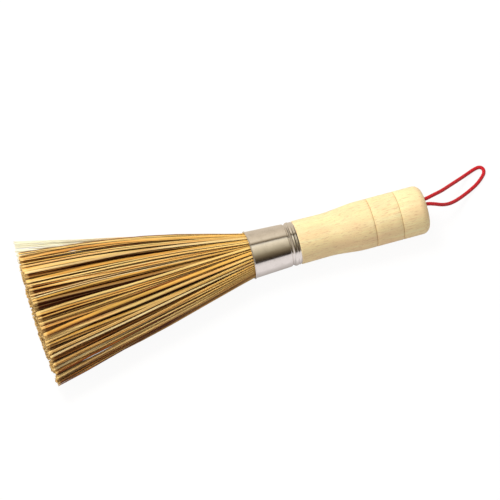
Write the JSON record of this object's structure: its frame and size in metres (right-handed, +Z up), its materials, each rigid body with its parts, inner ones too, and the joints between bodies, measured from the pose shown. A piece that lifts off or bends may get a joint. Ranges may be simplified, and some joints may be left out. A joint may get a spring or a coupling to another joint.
{
  "type": "bamboo wok brush",
  "caption": "Wok brush of split bamboo strips fanned out of a conical steel ferrule, on a turned wooden handle with a red cord hanging loop.",
  "frame": {"origin": "middle of the brush's length and width, on the surface that it lies on, leaving out the hanging loop", "axes": "+X along the brush from the bamboo tips to the handle's butt, +Y across the fan, +Z up"},
  "size_m": [0.3214, 0.1097, 0.0326],
  "materials": {
    "pale_wood": "satin",
    "ferrule_steel": "satin",
    "bamboo": "satin",
    "red_cord": "satin"
  },
  "bodies": {
    "root": {"handle": "pale_wood", "ferrule": "ferrule_steel", "hanging_loop": "red_cord", "splits_row_01": "bamboo", "splits_row_02": "bamboo", "splits_row_03": "bamboo", "splits_row_04": "bamboo", "splits_row_05": "bamboo", "splits_row_06": "bamboo", "splits_row_07": "bamboo", "splits_row_08": "bamboo", "splits_row_09": "bamboo", "splits_row_10": "bamboo", "splits_row_11": "bamboo", "splits_row_12": "bamboo", "splits_row_13": "bamboo", "splits_row_14": "bamboo", "splits_row_15": "bamboo", "splits_row_16": "bamboo", "splits_row_17": "bamboo", "splits_row_18": "bamboo", "splits_row_19": "bamboo", "splits_row_20": "bamboo", "splits_row_21": "bamboo", "splits_row_22": "bamboo", "splits_row_23": "bamboo", "splits_row_24": "bamboo", "splits_row_25": "bamboo"}
  },
  "joints": []
}
